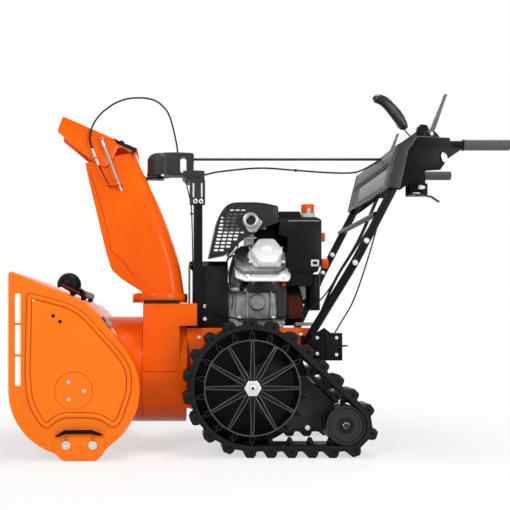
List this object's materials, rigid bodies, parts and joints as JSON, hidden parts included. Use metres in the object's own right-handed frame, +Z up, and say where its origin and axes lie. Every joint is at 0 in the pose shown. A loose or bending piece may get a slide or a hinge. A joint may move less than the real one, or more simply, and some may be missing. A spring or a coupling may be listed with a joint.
{
  "type": "snow blower",
  "caption": "Tracked two-stage snow blower with auger housing, turning chute, engine, rubber tracks and handlebar controls.",
  "frame": {"origin": "on the ground under the middle of the machine's bounding box", "axes": "+X rearward to the operator, +Y to the operator's right, +Z up"},
  "size_m": [1.608, 0.746, 1.2372],
  "materials": {
    "orange_paint": "gloss",
    "black_paint": "satin",
    "black_plastic": "textured",
    "grey_plastic": "satin",
    "grip_rubber": "matte",
    "track_rubber": "matte",
    "cable_jacket": "satin",
    "bright_steel": "zinc plated",
    "machined_steel": "satin",
    "cast_aluminium": "as cast",
    "white_cover": "satin",
    "bronze": "machined",
    "orange_plastic": "gloss"
  },
  "bodies": {
    "chassis": {"auger_housing": "orange_paint", "housing_side_plates": "orange_paint", "scraper_bar": "black_paint", "skid_shoes": "orange_paint", "frame_bolts": "bright_steel", "shaft_bearings": "machined_steel", "auger_gearbox": "black_paint", "belt_cover": "black_paint", "chassis_frame": "orange_paint", "transmission": "cast_aluminium", "engine_block": "cast_aluminium", "valve_cover": "white_cover", "muffler": "cast_aluminium", "muffler_guard": "black_paint", "air_box": "black_plastic", "fuel_tank": "black_plastic", "electric_starter": "black_plastic", "recoil_housing": "black_plastic", "drive_belt": "track_rubber", "handlebar_tubes": "black_paint", "console": "black_plastic", "console_panel": "grey_plastic", "handle_grips": "grip_rubber", "mode_release_box": "black_paint", "rear_bracket": "black_paint", "chute_post": "black_paint", "gear_head": "black_plastic", "clean_out_tool": "black_plastic", "control_cables": "cable_jacket"},
    "auger": {"auger_shaft": "machined_steel", "auger_rakes": "orange_paint", "worm_wheel": "bronze"},
    "impeller": {"impeller_shaft": "machined_steel", "impeller_fan": "orange_paint", "impeller_pulley": "machined_steel"},
    "crank": {"crankshaft": "machined_steel", "engine_pulley": "machined_steel"},
    "left_wheel": {"left_drive_wheel": "black_plastic", "left_axle": "bright_steel"},
    "right_wheel": {"right_drive_wheel": "black_plastic", "right_axle": "bright_steel"},
    "track": {"track_frame": "black_paint", "rubber_tracks": "track_rubber"},
    "left_idler": {"left_idler_wheels": "black_plastic"},
    "right_idler": {"right_idler_wheels": "black_plastic"},
    "chute_body": {"chute": "orange_paint", "deflector_cable": "cable_jacket", "deflector_spring": "bright_steel"},
    "deflector_body": {"deflector": "orange_paint", "deflector_hinge": "track_rubber"},
    "chute_control": {"control_rod": "machined_steel", "joystick": "black_plastic"},
    "trigger": {"joystick_trigger": "grey_plastic"},
    "left_lever": {"left_clutch_lever": "machined_steel"},
    "right_lever": {"right_clutch_lever": "machined_steel"},
    "speed_control": {"speed_lever": "black_plastic"},
    "release_lever": {"mode_release_lever": "bright_steel"},
    "cap": {"fuel_cap": "orange_plastic"},
    "choke": {"choke_knob": "orange_plastic"},
    "throttle": {"throttle_knob": "orange_plastic"}
  },
  "joints": [
    {"name": "impeller_spin", "type": "hinge", "parent": "chassis", "child": "impeller", "pos_m": [-0.4, 0, 0.27], "axis": [1, 0, 0], "continuous": true},
    {"name": "auger_spin", "type": "hinge", "parent": "chassis", "child": "auger", "pos_m": [-0.598, 0, 0.221], "axis": [0, 1, 0], "continuous": true},
    {"name": "crank_spin", "type": "hinge", "parent": "chassis", "child": "crank", "pos_m": [-0.1, 0, 0.52], "axis": [1, 0, 0], "continuous": true},
    {"name": "left_wheel_spin", "type": "hinge", "parent": "chassis", "child": "left_wheel", "pos_m": [-0.031, 0, 0.225], "axis": [0, 1, 0], "continuous": true},
    {"name": "right_wheel_spin", "type": "hinge", "parent": "chassis", "child": "right_wheel", "pos_m": [-0.031, 0, 0.225], "axis": [0, 1, 0], "continuous": true},
    {"name": "track_tilt", "type": "hinge", "parent": "chassis", "child": "track", "pos_m": [-0.031, 0, 0.225], "axis": [0, 1, 0], "range_deg": [-7, 3]},
    {"name": "left_idler_spin", "type": "hinge", "parent": "track", "child": "left_idler", "pos_m": [0.271, 0, 0.104], "axis": [0, 1, 0], "continuous": true},
    {"name": "right_idler_spin", "type": "hinge", "parent": "track", "child": "right_idler", "pos_m": [0.271, 0, 0.104], "axis": [0, 1, 0], "continuous": true},
    {"name": "chute_rotate", "type": "hinge", "parent": "chassis", "child": "chute_body", "pos_m": [-0.33, -0.08, 0.51], "axis": [0, 0, 1], "range_deg": [-95, 95], "deforming": ["deflector_cable"]},
    {"name": "deflector_tilt", "type": "hinge", "parent": "chute_body", "child": "deflector_body", "pos_m": [-0.414, -0.08, 1.027], "axis": [0, 1, 0], "range_deg": [-28, 12], "deforming": ["deflector_spring", "deflector_cable"]},
    {"name": "joystick_swing", "type": "hinge", "parent": "chassis", "child": "chute_control", "pos_m": [0.2, -0.08, 1.004], "axis": [1, 0, 0], "range_deg": [-40, 40]},
    {"name": "trigger_press", "type": "slide", "parent": "chute_control", "child": "trigger", "axis": [0.8729, 0, 0.4879], "range_m": [0, 0.004], "stiffness_N_per_m": 600, "springref_m": -0.002},
    {"name": "left_lever_press", "type": "hinge", "parent": "chassis", "child": "left_lever", "pos_m": [0.548, -0.275, 1.045], "axis": [0, 1, 0], "range_deg": [0, 58], "stiffness_Nm_per_rad": 1.5, "springref_deg": -22.92},
    {"name": "right_lever_press", "type": "hinge", "parent": "chassis", "child": "right_lever", "pos_m": [0.548, 0.275, 1.045], "axis": [0, 1, 0], "range_deg": [0, 58], "stiffness_Nm_per_rad": 1.5, "springref_deg": -22.92},
    {"name": "speed_select", "type": "hinge", "parent": "chassis", "child": "speed_control", "pos_m": [0.585, 0.02, 1], "axis": [0, 1, 0], "range_deg": [-14, 14]},
    {"name": "release_squeeze", "type": "hinge", "parent": "chassis", "child": "release_lever", "pos_m": [0.6, 0, 0.896], "axis": [0, 1, 0], "range_deg": [-16, 0], "stiffness_Nm_per_rad": 0.4, "springref_deg": 28.65},
    {"name": "fuel_cap_turn", "type": "hinge", "parent": "chassis", "child": "cap", "pos_m": [0.194, -0.022, 0.83], "axis": [0, 0, 1], "range_deg": [0, 90]},
    {"name": "choke_turn", "type": "hinge", "parent": "chassis", "child": "choke", "pos_m": [0.22, -0.13, 0.728], "axis": [1, 0, 0], "range_deg": [0, 90]},
    {"name": "throttle_turn", "type": "hinge", "parent": "chassis", "child": "throttle", "pos_m": [0.23, -0.131, 0.638], "axis": [1, 0, 0], "range_deg": [0, 60]}
  ],
  "couplings": [
    {"joint": "auger_spin", "follows": "impeller_spin", "ratio": 0.1},
    {"joint": "crank_spin", "follows": "impeller_spin", "ratio": 2.5882},
    {"joint": "left_idler_spin", "follows": "left_wheel_spin", "ratio": 2.8615},
    {"joint": "right_idler_spin", "follows": "right_wheel_spin", "ratio": 2.8615},
    {"joint": "joystick_swing", "follows": "chute_rotate", "ratio": 0.4}
  ]
}
